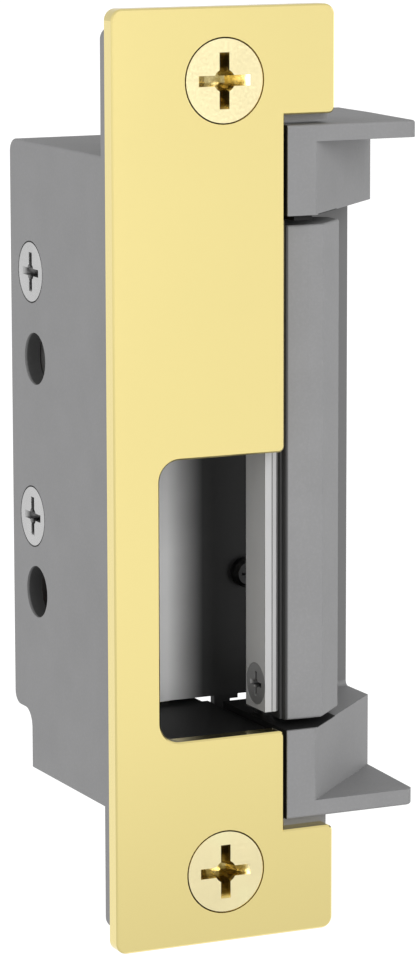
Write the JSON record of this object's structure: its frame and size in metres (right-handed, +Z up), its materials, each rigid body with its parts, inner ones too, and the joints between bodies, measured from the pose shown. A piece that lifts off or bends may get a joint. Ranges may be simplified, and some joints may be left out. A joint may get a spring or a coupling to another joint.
{
  "type": "electric door strike",
  "caption": "Electric door strike with a notched brass faceplate, a swinging keeper between two ramped ears, a grey case and a solenoid-driven lock inside.",
  "frame": {"origin": "midway between the two faceplate screws, on the front of the faceplate", "axes": "+X across the faceplate towards the keeper, +Y back into the door frame, +Z up along the faceplate"},
  "size_m": [0.0449, 0.0368, 0.1238],
  "materials": {
    "faceplate": "satin brass, lightly lacquered",
    "faceplate_screws": "bright brass plated steel, cross recess",
    "case": "fine satin grey powder coat on a die casting",
    "side_screws": "white zinc plated steel, cross recess",
    "housing_screws": "bright zinc plated steel",
    "back_cover": "satin stainless sheet",
    "back_cover_screws": "bright zinc plated steel",
    "pocket_liner": "satin stainless sheet",
    "liner_screws": "bright zinc plated steel",
    "keeper_housing": "fine satin grey powder coat on a die casting",
    "keeper_pin": "ground steel pin",
    "mechanism_bracket": "satin stainless sheet",
    "solenoid_frame": "zinc plated steel",
    "solenoid_screws": "bright zinc plated steel",
    "solenoid_bobbin": "black nylon",
    "coil_winding": "enamelled copper wire",
    "solenoid_core": "turned steel",
    "lever_pin": "ground steel pin",
    "coil_leads": "PVC insulated wire",
    "connector_socket": "natural white nylon",
    "connector_contacts": "tinned brass pins",
    "keeper": "fine satin grey powder coat on a die casting",
    "keeper_shim_inner": "polished stainless",
    "keeper_shim_outer": "polished stainless",
    "shim_screws": "dark zinc plated steel",
    "keeper_spring": "spring steel wire",
    "plunger": "turned and nickel plated steel",
    "plunger_clip": "black phosphated spring steel",
    "plunger_cross_pin": "ground steel pin",
    "plunger_spring": "spring steel wire",
    "locking_lever": "hardened zinc plated steel"
  },
  "bodies": {
    "frame": {"faceplate": "faceplate", "faceplate_screws": "faceplate_screws", "case": "case", "side_screws": "side_screws", "housing_screws": "housing_screws", "back_cover": "back_cover", "back_cover_screws": "back_cover_screws", "pocket_liner": "pocket_liner", "liner_screws": "liner_screws", "keeper_housing": "keeper_housing", "keeper_pin": "keeper_pin", "mechanism_bracket": "mechanism_bracket", "solenoid_frame": "solenoid_frame", "solenoid_screws": "solenoid_screws", "solenoid_bobbin": "solenoid_bobbin", "coil_winding": "coil_winding", "solenoid_core": "solenoid_core", "lever_pin": "lever_pin", "coil_leads": "coil_leads", "connector_socket": "connector_socket", "connector_contacts": "connector_contacts"},
    "keeper": {"keeper": "keeper", "keeper_shim_inner": "keeper_shim_inner", "keeper_shim_outer": "keeper_shim_outer", "shim_screws": "shim_screws", "keeper_spring": "keeper_spring"},
    "plunger": {"plunger": "plunger", "plunger_clip": "plunger_clip", "plunger_cross_pin": "plunger_cross_pin", "plunger_spring": "plunger_spring"},
    "lever": {"locking_lever": "locking_lever"}
  },
  "joints": [
    {"name": "keeper_swing", "type": "hinge", "parent": "frame", "child": "keeper", "pos_m": [0.0122, 0.0122, 0], "axis": [0, 0, 1], "range_deg": [0, 70], "stiffness_Nm_per_rad": 0.04, "springref_deg": -34.38, "deforming": ["keeper_spring"]},
    {"name": "plunger_slide", "type": "slide", "parent": "frame", "child": "plunger", "axis": [0, 0, 1], "range_m": [0, 0.004], "stiffness_N_per_m": 100, "springref_m": -0.004, "deforming": ["plunger_spring"]},
    {"name": "lever_tilt", "type": "hinge", "parent": "frame", "child": "lever", "pos_m": [0, 0.0305, 0.0085], "axis": [-1, 0, 0], "range_deg": [0, 19.2]}
  ],
  "couplings": [
    {"joint": "lever_tilt", "follows": "plunger_slide", "rad_per_m": 83.333}
  ]
}
